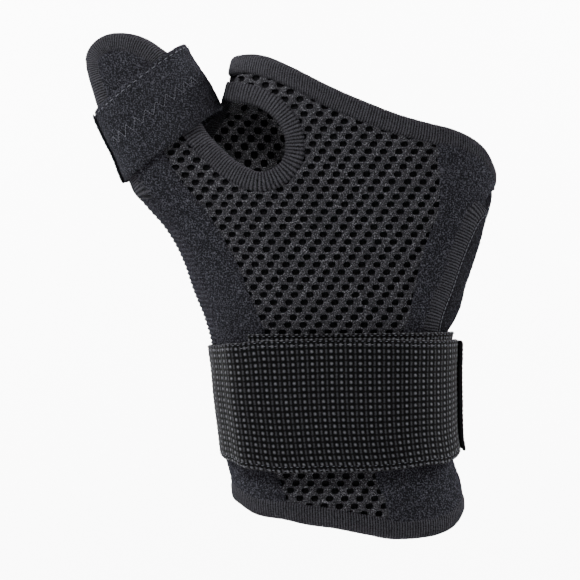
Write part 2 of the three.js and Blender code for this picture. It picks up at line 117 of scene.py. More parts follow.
def ends(height, back, thumb):
    left = np.where(back, track(PALM, FAR_LEFT, height), track(PALM, LEFT, height))
    if thumb:
        beyond = np.minimum(left, track(THUMB, LEFT, height))
        left = np.where(height > THUMB[0, 0], beyond, left)
    return left, track(PALM, RIGHT, height)


def swell(across, height):
    return 0.45 * np.sin(height / 13 + across / 21) + 0.3 * np.sin(across / 8 - height / 27)


# Angles go from 0 at the thumb side by way of the front to pi at the finger side
def on_cuff(angle, height, out, thumb=True):
    back = np.sin(angle) < 0
    left, right = ends(height, back, thumb)
    across = (left + right) / 2 - ((right - left) / 2) * np.cos(angle)
    out = out + swell(across, height)
    across = across - out * np.cos(angle)
    palm_left = ends(height, back, False)[0]
    deep = np.where(back, track(PALM, BACK, height), track(PALM, FRONT, height))
    depth = dome(across, palm_left - out, right + out, deep + out, 2.4)
    if thumb:
        deep = np.where(back, track(THUMB, BACK, height), track(THUMB, FRONT, height))
        near, far = track(THUMB, LEFT, height), track(THUMB, RIGHT, height)
        hump = dome(across, near - out, far + out, deep + out, 2.2)
        hump = np.where(height > THUMB[0, 0], hump, -10)
        overlap = np.maximum(4 - np.abs(depth - hump), 0)
        depth = np.maximum(depth, hump) + overlap**2 / 16
    depth = np.maximum(depth, 0)
    return np.stack([across, np.where(back, depth, -depth), height], axis=-1)


def angle_at(across, height, back=False, thumb=True):
    left, right = ends(height, back, thumb)
    angle = np.arccos(np.clip((left + right - 2 * across) / (right - left), -1, 1))
    return 2 * np.pi - angle if back else angle


def row_line(points):
    return np.array(points) * (WIDTH, HEIGHT)


def along(rows, steps):
    knots = np.vstack([2 * rows[0] - rows[1], rows, 2 * rows[-1] - rows[-2]])
    fine = []
    for a, b, c, d in zip(knots, knots[1:], knots[2:], knots[3:]):
        t = np.linspace(0, 1, 24, endpoint=False)[:, None]
        bend = 2 * a - 5 * b + 4 * c - d
        fine.append(b + 0.5 * t * (c - a + t * (bend + t * (3 * b - 3 * c + d - a))))
    fine = np.vstack(fine + [rows[-1:]])
    reach = np.append(0, np.cumsum(np.linalg.norm(np.diff(fine, axis=0), axis=1)))
    places = np.linspace(0, reach[-1], steps + 1)
    return np.stack([np.interp(places, reach, fine[:, k]) for k in (0, 1)], axis=-1)


TOP_HEM = row_line(
    [
        (-32, 68.2),
        (-22.6, 68.8),
        (-17.2, 68.2),
        (-10.4, 65.8),
        (-0.9, 62),
        (8.5, 58.8),
        (15.7, 56.6),
        (22.9, 55),
        (27.8, 54.1),
        (32.7, 52.6),
        (36.5, 50.3),
        (39, 46.8),
        (43, 41),
    ]
)
BOTTOM_HEM = row_line(
    [
        (-30, -17.2),
        (-23.8, -18.7),
        (-18.6, -20.9),
        (-12.1, -21.6),
        (-6.7, -22.5),
        (0.2, -23.2),
        (7.1, -24.3),
        (14, -25.3),
        (21, -25.2),
        (25.7, -24.6),
        (29.3, -23.2),
        (32, -20.5),
        (37, -17),
    ]
)
BACK_SEAM = row_line([(12, -28), (12, 10), (15, 40), (14, 66)])
THUMB_FAR_EDGE = row_line(
    [
        (-26.7, 60.2),
        (-28.9, 58.4),
        (-33.8, 54.8),
        (-39.3, 49.6),
        (-45.7, 45.7),
        (-50.4, 42.9),
    ]
)


def over(rows):
    fine = along(rows, 200)
    return lambda across: np.interp(across, fine[:, 0], fine[:, 1])


def at_height(rows):
    fine = along(rows, 200)
    fine = fine[np.argsort(fine[:, 1])]
    return lambda height: np.interp(height, fine[:, 1], fine[:, 0])


top_hem, bottom_hem = over(TOP_HEM), over(BOTTOM_HEM)
back_seam = at_height(BACK_SEAM)
far_edge = over(THUMB_FAR_EDGE[::-1])


def grain(points, size, seed):
    offset = Vector((seed, 2 * seed, 3 * seed))
    return np.array([noise.noise(Vector(p) / size + offset) for p in points])


def new_mesh():
    bm = bmesh.new()
    return bm, bm.loops.layers.uv.new("cloth")


def settle(bm, layer, verts, flat, places):
    for vert, place in zip(verts, places):
        vert.co = Vector(place) * MM
    flat_at = dict(zip(verts, flat))
    faces = {face for vert in verts for face in vert.link_faces}
    for face in faces:
        for loop in face.loops:
            loop[layer].uv = flat_at[loop.vert]


def turn_outwards(bm, faces):
    bm.normal_update()
    lean = sum(f.normal.y * f.calc_center_median().y * f.calc_area() for f in faces)
    if lean < 0:
        bmesh.ops.reverse_faces(bm, faces=faces)


def mesh_piece(name, bm, slot, *materials):
    mesh = bpy.data.meshes.new(name)
    bm.to_mesh(mesh)
    bm.free()
    for polygon in mesh.polygons:
        polygon.use_smooth = True
    piece = bpy.data.objects.new(name + "_cloth", mesh)
    bpy.context.scene.collection.objects.link(piece)
    for material in materials:
        mesh.materials.append(material)
    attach(piece, "root")
    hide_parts(name)
    return piece


def smooth(piece):
    rounding = piece.modifiers.new("rounding", "SUBSURF")
    rounding.levels = rounding.render_levels = 1


def grid(bm, layer, columns, rows, flat, place):
    made = bmesh.ops.create_grid(bm, x_segments=columns, y_segments=rows, size=0.5)
    verts = made["verts"]
    shares = np.array([(v.co.x + 0.5, v.co.y + 0.5) for v in verts])
    settle(bm, layer, verts, shares * flat, place(shares[:, 0], shares[:, 1]))
    faces = list({face for vert in verts for face in vert.link_faces})
    turn_outwards(bm, faces)
    return verts, faces


# A patch of the cuff between two side lines, given as angles at a height, and two hems
def patch(start, stop, bottom, top, out):
    def place(u, v):
        height = 40 + 0 * u
        for _ in range(80):
            angle = start(height) * (1 - u) + stop(height) * u
            place = on_cuff(angle, height, 0)
            goal = bottom(place[:, 0]) * (1 - v) + top(place[:, 0]) * v
            height = height + 0.12 * (goal - height)
        return on_cuff(angle, height, out(u, v, place))

    return place


def shifted(points, distance):
    steps = np.gradient(points, axis=0)
    steps /= np.linalg.norm(steps, axis=1)[:, None]
    return points + distance * np.stack([-steps[:, 1], steps[:, 0]], axis=-1)


def inside(points, outline):
    x, z = points[:, 0], points[:, 1]
    crossed = np.zeros(len(points), bool)
    for (x0, z0), (x1, z1) in zip(outline, np.roll(outline, -1, axis=0)):
        level = (z0 > z) != (z1 > z)
        at = x0 + (z - z0) * (x1 - x0) / (z1 - z0 + 1e-12)
        crossed ^= level & (x < at)
    return crossed


# The knit between the two open faces
def core(bm, layer, corner, size, keep, place):
    columns, rows = math.ceil(size[0] / 2), math.ceil(size[1] / 2)

    def spread(u, v):
        return place(np.stack([corner[0] + u * size[0], corner[1] + v * size[1]], axis=-1))

    faces = grid(bm, layer, columns, rows, size, spread)[1]
    kept = keep(np.array([f.calc_center_median().xz[:] for f in faces]) / MM)
    spare = [face for face, stays in zip(faces, kept) if not stays]
    bmesh.ops.delete(bm, geom=spare, context="FACES")
    faces = [face for face, stays in zip(faces, kept) if stays]
    for face in faces:
        face.material_index = 1
    made = bmesh.ops.solidify(bm, geom=faces, thickness=0.5 * MM)
    for face in made["geom"]:
        if isinstance(face, bmesh.types.BMFace):
            face.material_index = 1


# Spacer mesh: a sheared lattice whose crossings are opened into round holes
def lattice(bm, layer, corner, size, cell, keep, hole, place):
    pitch, step, shift = cell
    lean = pitch * shift
    rows = math.ceil(size[1] / step)
    columns = math.ceil((size[0] + lean * rows) / pitch)
    made = bmesh.ops.create_grid(bm, x_segments=columns, y_segments=rows, size=0.5)
    verts = made["verts"]
    for vert in verts:
        i = round((vert.co.x + 0.5) * columns)
        j = round((vert.co.y + 0.5) * rows)
        x = corner[0] + pitch * i + lean * (j - rows)
        vert.co = Vector((x, 0, corner[1] + step * j))
    bmesh.ops.subdivide_edges(bm, edges=bm.edges[:], cuts=1, use_grid_fill=True)

    def nearest(flat):
        row = np.round((flat[:, 1] - corner[1]) / step)
        start = corner[0] + lean * (row - rows)
        column = np.round((flat[:, 0] - start) / pitch)
        centre = np.stack([start + pitch * column, corner[1] + step * row], axis=-1)
        return centre, np.linalg.norm(flat - centre, axis=1)

    faces = bm.faces[:]
    kept = keep(np.array([f.calc_center_median().xz[:] for f in faces]))
    spare = [face for face, stays in zip(faces, kept) if not stays]
    bmesh.ops.delete(bm, geom=spare, context="FACES")
    verts = bm.verts[:]
    apart = nearest(np.array([v.co.xz[:] for v in verts]))[1]
    centres = [v for v, d in zip(verts, apart) if d < 0.1 and not v.is_boundary]
    opened = bmesh.ops.bevel(
        bm,
        geom=centres,
        offset=hole,
        offset_type="OFFSET",
        affect="VERTICES",
        segments=2,
        profile=0.5,
        material=-1,
    )
    bmesh.ops.delete(bm, geom=opened["faces"], context="FACES")
    verts = bm.verts[:]
    flat = np.array([v.co.xz[:] for v in verts])
    centre, apart = nearest(flat)
    away = flat - centre
    rise = away[:, 1] / step
    turn = np.arctan2(rise * math.hypot(lean, step), away[:, 0] - rise * lean)
    turn -= math.radians(18)
    rim = centre + hole * np.stack([1.08 * np.cos(turn), 1.25 * np.sin(turn)], axis=-1)
    flat = np.where(apart[:, None] < 1.05 * hole, rim, flat)
    settle(bm, layer, verts, flat, place(flat, nearest(flat)[1]))
    turn_outwards(bm, bm.faces[:])
    bmesh.ops.solidify(bm, geom=bm.faces[:], thickness=(WALL - 0.6) * MM)


def fabric(name, colour, roughness, sheen):
    material = bpy.data.materials.new(name)
    material.use_nodes = True
    shader = material.node_tree.nodes["Principled BSDF"]
    shader.inputs["Base Color"].default_value = (*colour, 1)
    shader.inputs["Roughness"].default_value = roughness
    shader.inputs["Sheen Weight"].default_value = sheen
    shader.inputs["Sheen Roughness"].default_value = 0.5
    shader.inputs["Specular IOR Level"].default_value = 0.0
    return material, shader


def add_node(material, kind, **inputs):
    made = material.node_tree.nodes.new(kind)
    for key, value in inputs.items():
        socket = made.inputs[key.replace("_", " ")]
        if isinstance(value, bpy.types.NodeSocket):
            material.node_tree.links.new(value, socket)
        else:
            socket.default_value = value
    return made


def speckle(material, size, detail=3.0):
    where = add_node(material, "ShaderNodeTexCoord").outputs["Object"]
    scale = 1 / (size * MM)
    made = add_node(
        material, "ShaderNodeTexNoise", Vector=where, Scale=scale, Detail=detail, Roughness=0.6
    )
    return made.outputs["Fac"]


def shade(material, shader, share, dark, light, low=0.35, high=0.65):
    ramp = add_node(material, "ShaderNodeMapRange", Value=share, From_Min=low, From_Max=high)
    mix = add_node(material, "ShaderNodeMix")
    mix.data_type = "RGBA"
    material.node_tree.links.new(ramp.outputs["Result"], mix.inputs["Factor"])
    mix.inputs[6].default_value = (*dark, 1)
    mix.inputs[7].default_value = (*light, 1)
    material.node_tree.links.new(mix.outputs[2], shader.inputs["Base Color"])


def bump(material, shader, height, distance):
    made = add_node(
        material, "ShaderNodeBump", Height=height, Distance=distance * MM, Strength=1.0
    )
    material.node_tree.links.new(made.outputs["Normal"], shader.inputs["Normal"])


# Spacer mesh knit: one fine noise gives the yarn its bumps and, where it peaks, bright specks in
# the colour. The specks are partly the yarn's own flecks and partly painted glints of light on the
# yarn.
def knit(name, dark, light):
    cloth, shader = fabric(name, light, 0.85, 0.0)
    threads = speckle(cloth, 0.4)
    shade(cloth, shader, threads, dark, light, 0.52, 0.78)
    bump(cloth, shader, threads, 0.15)
    return cloth


# The palm side cloth is the front's black spacer mesh painted nearly three times lighter: painted
# light on the panel's inside, which lies in shade within the cuff.
shade_lightened_mesh_cloth = knit("palm side mesh lightened for shade", (0.018, 0.018, 0.0195), (0.19, 0.187, 0.205))
core_cloth, core_shader = fabric("mesh core", (0.002, 0.002, 0.002), 0.9, 0.0)
core_grain = speckle(core_cloth, 0.4)
shade(core_cloth, core_shader, core_grain, (0.0008, 0.0008, 0.0008), (0.004, 0.004, 0.0045))


def back_region(points, inset=1.5, margin=3):
    across, height = points[:, 0], points[:, 1]
    right = across < back_seam(height)
    hems = (height < top_hem(across) - margin) & (height > bottom_hem(across) + margin)
    left = across > ends(height, True, True)[0] + 1
    thumb = (height < far_edge(across) - margin) | (across > -26 * WIDTH)
    web = (across > track(PALM, LEFT, height) + inset) | (height < 56 * HEIGHT)
    return right & hems & left & thumb & web


def knob(apart, hole, low, high):
    rise = np.clip((apart - hole) / 1.2, 0, 1)
    return low + (high - low) * rise * rise * (3 - 2 * rise)


def on_back(flat, out):
    return on_cuff(angle_at(flat[:, 0], flat[:, 1], back=True), flat[:, 1], out)


BACK_CORNER, BACK_SIZE = (-70, -45), (90, 165)
BACK_CELL = (5.9, 2.85, 0.4)  # pitch, row step and lean of the knit
BACK_HOLE = 1.05
RIM = 1.1  # the strands begin to rise here, measured from the middle of a hole
bm, layer = new_mesh()
lattice(
    bm,
    layer,
    BACK_CORNER,
    BACK_SIZE,
    BACK_CELL,
    back_region,
    BACK_HOLE,
    lambda flat, apart: on_back(flat, knob(apart, RIM, -0.5, -0.1)),
)
core(
    bm,
    layer,
    BACK_CORNER,
    BACK_SIZE,
    lambda flat: back_region(flat, 0.4, 1),
    lambda flat: on_back(flat, -1.3),
)
back_panel = mesh_piece("back_mesh_panel", bm, "spacer_mesh", shade_lightened_mesh_cloth, core_cloth)
smooth(back_panel)


# Closure panel: the loop fleece that the flap closes on, laminated to 3 mm foam and wrapped
# round the little-finger side from the palm.
FLAP_EDGE = row_line(
    [
        (42, 43.5),
        (38.6, 41.2),
        (37.1, 38.1),
        (34.7, 36),
        (32.7, 32.5),
        (30.8, 28.2),
        (28.6, 22.7),
        (26.7, 18.8),
        (25.5, 15.3),
        (25, 9),
        (25.8, 0),
        (28.5, -6),
        (34, -9.5),
    ]
)
flap_edge = at_height(FLAP_EDGE)


def brushed(name, dark, light):
    cloth, shader = fabric(name, light, 0.95, 0.0)
    fuzz = speckle(cloth, 0.5, 4.0)
    shade(cloth, shader, fuzz, dark, light, 0.48, 0.8)
    bump(cloth, shader, fuzz, 0.3)
    return cloth


loop_cloth = brushed("loop fleece", (0.0022, 0.0022, 0.0026), (0.02, 0.02, 0.0235))


# The nap stands off the cloth and rolls down at the side seams
def nap(base, seed, roll=0.06, depth=0.8):
    def out(u, v, place):
        side = np.clip(np.minimum(u, 1 - u) / roll, 0, 1)
        sink = depth * (1 - side) ** 2
        fuzz = 0.3 * grain(place, 1.1, seed) + 0.3 * grain(place, 8, seed + 3)
        return base - sink + fuzz

    return out


def fleece_piece(name, columns, rows, flat, place, cloth):
    bm, layer = new_mesh()
    grid(bm, layer, columns, rows, flat, place)
    piece = mesh_piece(name, bm, "fleece", cloth)
    foam = piece.modifiers.new("foam", "SOLIDIFY")
    foam.thickness = WALL * MM
    foam.offset = -1
    return piece


fleece_piece(
    "closure_panel",
    70,
    200,
    (55, 130),
    patch(
        lambda height: angle_at(np.minimum(flap_edge(height), 60) - 1, height),
        lambda height: angle_at(back_seam(height) - 1, height, back=True),
        lambda across: bottom_hem(across) + 2,
        lambda across: top_hem(np.minimum(across, 54)) - 2,
        nap(-0.3, 1),
    ),
    loop_cloth,
)


# Front mesh panel: the same spacer mesh over the back of the hand, with the thumb hole cut
# in it and its sides sewn under the fleece.
THUMB_SIDE_SEAM = row_line(
    [
        (-9, -27),
        (-12.8, -15.3),
        (-14.7, -12.6),
        (-16.8, 0),
        (-16.8, 15.2),
        (-19, 19.3),
        (-22.3, 26.2),
        (-26.6, 32.6),
        (-30.9, 38),
        (-36.9, 43.7),
        (-40.6, 48.6),
        (-42, 54),
        (-41, 58),
        (-37, 61.5),
        (-32, 66),
        (-31, 74),
    ]
)
FINGER_SIDE_SEAM = row_line(
    [
        (15, -27),
        (12.7, -17.7),
        (10.4, -12.3),
        (12, 2),
        (17.3, 15.2),
        (18.9, 19.3),
        (22.1, 30.5),
        (25.4, 38.8),
        (24.8, 50.6),
        (23.5, 62),
    ]
)
THUMB_EDGE = row_line(
    [
        (-26.8, 60.2),
        (-23.7, 59.5),
        (-20, 58.8),
        (-15.2, 56.6),
        (-11.9, 52.7),
        (-12.3, 47.9),
        (-17.1, 45.5),
        (-22.3, 46.8),
        (-26.6, 49.4),
        (-32, 54.2),
        (-35.6, 60.7),
        (-39.7, 68),
        (-42.8, 70.3),
        (-46.6, 72),
        (-51.1, 72.8),
        (-55.2, 72.5),
        (-58.5, 71),
        (-60.6, 68.6),
        (-60.8, 65.5),
        (-59.6, 62),
        (-57.8, 57.8),
        (-54.5, 52.3),
        (-51.8, 48.3),
        (-50.2, 44),
        (-47, 40.6),
    ]
)
thumb_seam, finger_seam = at_height(THUMB_SIDE_SEAM), at_height(FINGER_SIDE_SEAM)
# The mesh stops short of the thumb opening, and of all that lies beyond the tongue
opening = shifted(along(THUMB_EDGE, 120), 2.5)
opening = np.vstack([opening, [(-130, 70), (-130, 160), (-38, 160)]])


def front_region(points, inset=1.5):
    across, height = points[:, 0], points[:, 1]
    web = (across > track(PALM, LEFT, height) + inset) | (height < 56 * HEIGHT)
    sides = web & (across > thumb_seam(height) - 3) & (across < finger_seam(height) + 2.5)
    hems = (height < top_hem(across) - 2.5) & (height > bottom_hem(across) + 2.5)
    return sides & hems & ~inside(points, opening)


mesh_cloth = knit("spacer mesh", (0.0065, 0.0065, 0.0072), (0.07, 0.069, 0.077))


def on_front(flat, out):
    return on_cuff(angle_at(flat[:, 0], flat[:, 1]), flat[:, 1], out)


FRONT_CORNER, FRONT_SIZE = (-75, -45), (115, 165)
FRONT_CELL = (5.1, 2.5, 0.36)
FRONT_HOLE = 1.0
bm, layer = new_mesh()
lattice(
    bm,
    layer,
    FRONT_CORNER,
    FRONT_SIZE,
    FRONT_CELL,
    front_region,
    FRONT_HOLE,
    lambda flat, apart: on_front(flat, knob(apart, RIM, -0.6, 0.0)),
)
core(
    bm,
    layer,
    FRONT_CORNER,
    FRONT_SIZE,
    lambda flat: front_region(flat, 0.4),
    lambda flat: on_front(flat, -1.4),
)
front_panel = mesh_piece("front_mesh_panel", bm, "spacer_mesh", mesh_cloth, core_cloth)
smooth(front_panel)


# Thumb sleeve panel: brushed fleece down the thumb side, which runs up into the tongue that
# lies on the thumb.
SLEEVE_LEFT = row_line(
    [
        (-60, -27),
        (-60, 3),
        (-34, 4.5),
        (-28.9, 10),
        (-28.4, 13.8),
        (-29.1, 19.2),
        (-31.5, 24.7),
        (-33.7, 29.6),
        (-37.6, 34.9),
        (-42.4, 40.4),
        (-48.5, 45),
        (-51, 48.3),
        (-53.7, 52.3),
        (-57, 57.8),
        (-58.8, 62),
        (-60, 65.5),
        (-59.2, 68.6),
        (-56, 71.5),
    ]
)
SLEEVE_RIGHT = row_line(
    [
        (-8.6, -27),
        (-12.4, -15.3),
        (-14.3, -12.6),
        (-16.4, 0),
        (-16.4, 15.2),
        (-18.6, 19.3),
        (-21.9, 26.2),
        (-26.2, 32.6),
        (-30.5, 38),
        (-36.5, 43.7),
        (-40.2, 48.6),
        (-41.5, 54),
        (-40.6, 58),
        (-38, 62),
        (-39.5, 66),
        (-42, 69),
        (-46, 71.5),
    ]
)


def straight(rows):
    return lambda height: np.interp(height, rows[:, 1], rows[:, 0])


sleeve_left, sleeve_right = straight(SLEEVE_LEFT), straight(SLEEVE_RIGHT)
fleece_cloth = brushed("brushed fleece", (0.0035, 0.0035, 0.0042), (0.036, 0.036, 0.043))
sleeve_nap = nap(0.35, 5)
SLEEVE_RIB = 1.55


# Close ribs press through the fleece below the thumb strap
def ribbed(u, v, place):
    across, height = place[:, 0], place[:, 2]
    share = np.clip(1.2 - u / 0.3, 0, 1) * np.clip((84 - height) / 6, 0, 1)
    share = share * np.clip((height - 54) / 8, 0, 1)
    wave = 0.5 + 0.5 * np.cos(2 * np.pi * (height - 0.15 * across) / SLEEVE_RIB)
    return sleeve_nap(u, v, place) + 0.6 * share * wave


fleece_piece(
    "thumb_sleeve_panel",
    60,
    440,
    (40, 160),
    patch(
        lambda height: angle_at(sleeve_left(height), height),
        lambda height: angle_at(sleeve_right(height), height),
        lambda across: bottom_hem(across) + 2,
        lambda across: 71 * HEIGHT + 0 * across,
        ribbed,
    ),
    fleece_cloth,
)


# Thumb side band: the outer thumb side is overlocked with close ribs where the front and the
# back are joined.
BAND_LENGTH, BAND_RIB = 62, 1.5


def ribs(length, pitch, height):
    def out(u, v, place):
        wave = 0.5 + 0.5 * np.cos(2 * np.pi * v * length / pitch + 0.4 * grain(place, 3, 9))
        return 0.15 + height * wave + 0.05 * grain(place, 0.8, 2)

    return out


fleece_piece(
    "thumb_side_band",
    24,
    340,
    (18, BAND_LENGTH),
    patch(
        lambda height: angle_at(-100 + 0 * height, height),
        lambda height: angle_at(sleeve_left(height) + 0.8, height),
        lambda across: 6 * HEIGHT + 0 * across,
        lambda across: 43.5 * HEIGHT + 0 * across,
        ribs(BAND_LENGTH, BAND_RIB, 0.45),
    ),
    fleece_cloth,
)


# Finger side flap: brushed fleece over the little-finger side, which closes on the loop
# fleece with hooks on its underside.
fleece_piece(
    "finger_side_flap",
    72,
    240,
    (32, 135),
    patch(
        lambda height: angle_at(finger_seam(height) - 0.8, height),
        lambda height: angle_at(np.minimum(flap_edge(height), 60) - 2, height),
        lambda across: bottom_hem(across) + 2,
        lambda across: top_hem(np.minimum(across, 54)) - 2,
        nap(0.35, 7),
    ),
    fleece_cloth,
)


# Bindings: overlocked tape folded over the cut edges, one round each hem, one all round the
# thumb opening and tongue, and one down the edge of the flap.
def calc(material, operation, *values):
    made = material.node_tree.nodes.new("ShaderNodeMath")
    made.operation = operation
    for socket, value in zip(made.inputs, values):
        if isinstance(value, bpy.types.NodeSocket):
            material.node_tree.links.new(value, socket)
        else:
            socket.default_value = value
    return made.outputs[0]


def from_line(material, where, pitch):
    share = calc(material, "FRACT", calc(material, "DIVIDE", where, pitch))
    away = calc(material, "ABSOLUTE", calc(material, "SUBTRACT", share, 0.5))
    return calc(material, "MULTIPLY", away, pitch)


def near(material, distance, reach):
    share = calc(material, "SUBTRACT", 1.0, calc(material, "DIVIDE", distance, reach))
    return calc(material, "MAXIMUM", share, 0.0)


BINDING_WIDTH, BINDING_SIDES = 6.5, 26
thread_cloth = fabric("thread", (0.034, 0.034, 0.039), 0.7, 0.0)[0]
binding_cloth, binding_shader = fabric("overlocked binding", (0.01, 0.01, 0.011), 0.85, 0.0)
binding_flat = binding_cloth.node_tree.nodes.new("ShaderNodeUVMap")
binding_flat.uv_map = "cloth"
binding_split = add_node(binding_cloth, "ShaderNodeSeparateXYZ", Vector=binding_flat.outputs["UV"])
binding_rib = from_line(
    binding_cloth, calc(binding_cloth, "ADD", binding_split.outputs["X"], 0.5), 1.0
)
binding_rib = calc(binding_cloth, "SUBTRACT", 0.5, binding_rib)
binding_share = calc(
    binding_cloth,
    "MULTIPLY",
    calc(binding_cloth, "ADD", binding_rib, 0.4),
    speckle(binding_cloth, 0.4),
)
shade(
    binding_cloth,
    binding_shader,
    binding_share,
    (0.0016, 0.0016, 0.0018),
    (0.019, 0.0187, 0.0212),
    0.2,
    0.5,
)


# Short stitches that lie on the cloth along a line of places
def sew(bm, line, stitch, gap, thick):
    reach = np.append(0, np.cumsum(np.linalg.norm(np.diff(line, axis=0), axis=1)))
    starts = np.arange(gap, reach[-1] - stitch, stitch + gap)

    def pick(spots):
        return np.stack([np.interp(spots, reach, line[:, k]) for k in range(3)], axis=-1)

    ball = bmesh.new()
    bmesh.ops.create_uvsphere(ball, u_segments=6, v_segments=4, radius=1)
    corners = np.array([v.co[:] for v in ball.verts])
    sides = [[v.index for v in face.verts] for face in ball.faces]
    ball.free()
    places, faces = [], []
    for start, stop in zip(pick(starts), pick(starts + stitch)):
        way = Vector(stop - start)
        turn = np.array(way.to_track_quat("Z", "X").to_matrix())
        spread = (corners * (thick, thick, way.length / 2)) @ turn.T + (start + stop) / 2
        faces += [[k + len(places) * len(corners) for k in side] for side in sides]
        places.append(spread * MM)
    threads = bpy.data.meshes.new("threads")
    threads.from_pydata(np.vstack(places).tolist(), [], faces)
    threads.polygons.foreach_set("material_index", [1] * len(faces))
    bm.from_mesh(threads)
    bpy.data.meshes.remove(threads)


# The rounded outline of a tape's section: across, out and the way outwards
def roll(share, width, low, high, square=3.5):
    turn = np.linspace(0, 2 * np.pi, 721)
    flat, rise = np.cos(turn), np.sin(turn)
    flat = np.sign(flat) * np.abs(flat) ** (2 / square)
    rise = np.sign(rise) * np.abs(rise) ** (2 / square)
    outline = np.stack([width * (1 - flat) / 2, (low + high + (high - low) * rise) / 2], axis=-1)
    reach = np.append(0, np.cumsum(np.linalg.norm(np.diff(outline, axis=0), axis=1)))
    facing = np.gradient(outline, axis=0)
    facing /= np.linalg.norm(facing, axis=1)[:, None] + 1e-9
    columns = (outline[:, 0], outline[:, 1], -facing[:, 1], facing[:, 0])
    return [np.interp(share * reach[-1], reach, column) for column in columns]


def tape(bm, layer, steps, sides, flat, place):
    verts = grid(bm, layer, steps, sides, flat, place)[0]
    bmesh.ops.remove_doubles(bm, verts=verts, dist=0.004 * MM)
    bmesh.ops.holes_fill(bm, edges=[e for e in bm.edges if e.is_boundary], sides=0)
    bmesh.ops.recalc_face_normals(bm, faces=bm.faces[:])


def binding(name, length, path, proud=0.6, pitch=0.9, height=0.16, seams=()):
    bm, layer = new_mesh()
    count = round(length / pitch)

    def place(u, v):
        into, out, side, lift = roll(v, BINDING_WIDTH, -WALL - proud, proud)
        wave = height * (0.5 + 0.5 * np.cos(2 * np.pi * count * u))
        wave = wave + 0.08 * grain(path(u, into, out), 1.6, 8)
        return path(u, into + side * wave, out + lift * wave)

    tape(bm, layer, int(3.7 * length / pitch), BINDING_SIDES, (count, 21), place)
    for share in seams:
        u = np.linspace(0, 1, 1200)
        line = path(u, share * BINDING_WIDTH + 0 * u, proud + height + 0 * u)
        sew(bm, line, 1.4, 0.2, 0.16)
    piece = mesh_piece(name, bm, "binding", binding_cloth, thread_cloth)
    return piece


def hem_path(hem, way):
    turns = np.linspace(0, 2 * np.pi, 721)

    def lie(angle, into, out):
        height = 50 + 0 * angle
        for _ in range(10):
            across = on_cuff(angle, height, 0, thumb=False)[:, 0]
            height = hem(across)
        return on_cuff(angle, height + way * into, out, thumb=False)

    line = lie(turns, 0, 0)
    reach = np.append(0, np.cumsum(np.linalg.norm(np.diff(line, axis=0), axis=1)))
    return reach[-1], lambda u, into, out: lie(np.interp(u * reach[-1], reach, turns), into, out)


top_length, top_path = hem_path(top_hem, -1)
bottom_length, bottom_path = hem_path(bottom_hem, 1)
binding("top_binding", top_length, top_path)
binding("bottom_binding", bottom_length, bottom_path)

THUMB_FAR_BAND = row_line(
    [
        (-27.2, 64),
        (-23.8, 62.6),
        (-22.4, 59),
        (-24.6, 55),
        (-29.4, 51),
        (-36.6, 46.5),
        (-43, 42.6),
        (-48, 39),
    ]
)
near_line, far_line = along(THUMB_EDGE, 300), along(THUMB_FAR_EDGE, 90)
far_way = along(THUMB_FAR_BAND, 90) - far_line
loop_line = np.vstack([near_line, far_line[::-1], near_line[:1]])
loop_way = np.vstack([shifted(near_line, 1) - near_line, far_way[::-1] / BINDING_WIDTH])
loop_way = np.vstack([loop_way, loop_way[:1]])
for _ in range(12):
    ring = loop_way[:-1]
    ring = (np.roll(ring, 1, axis=0) + ring + np.roll(ring, -1, axis=0)) / 3
    loop_way = np.vstack([ring, ring[:1]])
loop_way /= np.linalg.norm(loop_way, axis=1)[:, None]
loop_behind = np.arange(len(loop_line)) >= len(near_line)
loop_behind[-1] = False


def thumb_path(u, into, out):
    spot = u * (len(loop_line) - 1)
    k = np.arange(len(loop_line))
    base = [np.interp(spot, k, loop_line[:, i]) for i in (0, 1)]
    way = [np.interp(spot, k, loop_way[:, i]) for i in (0, 1)]
    behind = loop_behind[np.clip(np.round(spot).astype(int), 0, len(k) - 1)]
    across, height = base[0] + into * way[0], base[1] + into * way[1]
    angle = np.where(behind, angle_at(across, height, back=True), angle_at(across, height))
    return on_cuff(angle, height, out)


loop_length = np.linalg.norm(np.diff(loop_line, axis=0), axis=1).sum()
binding("thumb_binding", loop_length, thumb_path)

FLAP_STEPS = 200
HIDDEN_STEPS = 24  # the first stretch of the edge lies under the top binding
flap_line = along(along(FLAP_EDGE, FLAP_STEPS)[HIDDEN_STEPS:], FLAP_STEPS)
flap_way = shifted(flap_line, -1) - flap_line


def flap_path(u, into, out):
    spot = u * FLAP_STEPS
    k = np.arange(FLAP_STEPS + 1)
    across = np.interp(spot, k, flap_line[:, 0]) + into * np.interp(spot, k, flap_way[:, 0])
    height = np.interp(spot, k, flap_line[:, 1]) + into * np.interp(spot, k, flap_way[:, 1])
    return on_cuff(angle_at(across, height), height, out)


flap_length = np.linalg.norm(np.diff(flap_line, axis=0), axis=1).sum()
binding("flap_binding", flap_length, flap_path, proud=0.5, pitch=0.95, height=0.14, seams=(0.05,))


# Thumb strap: 25 mm loop tape with a brushed face, sewn round the tongue and closed on
# itself with a hook tab at its outer end.
LOOP_WIDTH = 25.5
STRAP_TILT = math.radians(37)
STRAP_MIDDLE = (-42.5 * WIDTH, 58 * HEIGHT)


def on_thumb(angle, height, out):
    back = np.sin(angle) < 0
    left, right = track(THUMB, LEFT, height), track(THUMB, RIGHT, height)
    deep = np.where(back, track(THUMB, BACK, height), track(THUMB, FRONT, height))
    across = (left + right) / 2 - (right - left) / 2 * np.cos(angle)
    out = out + swell(across, height)
    depth = (deep + out) * (1 - np.abs(np.cos(angle)) ** 2.2) ** (1 / 2.2)
    across = across - out * np.cos(angle)
    return np.stack([across, np.where(back, depth, -depth), height], axis=-1)


def strap_path(angle, along_width, out):
    height = STRAP_MIDDLE[1] + 0 * angle
    for _ in range(12):
        across = on_thumb(angle, height, out)[:, 0]
        rise = along_width + (across - STRAP_MIDDLE[0]) * math.sin(STRAP_TILT)
        height = STRAP_MIDDLE[1] + rise / math.cos(STRAP_TILT)
    return on_thumb(angle, height, out)


strap_cloth = brushed("loop tape", (0.0037, 0.0037, 0.0044), (0.033, 0.033, 0.0395))


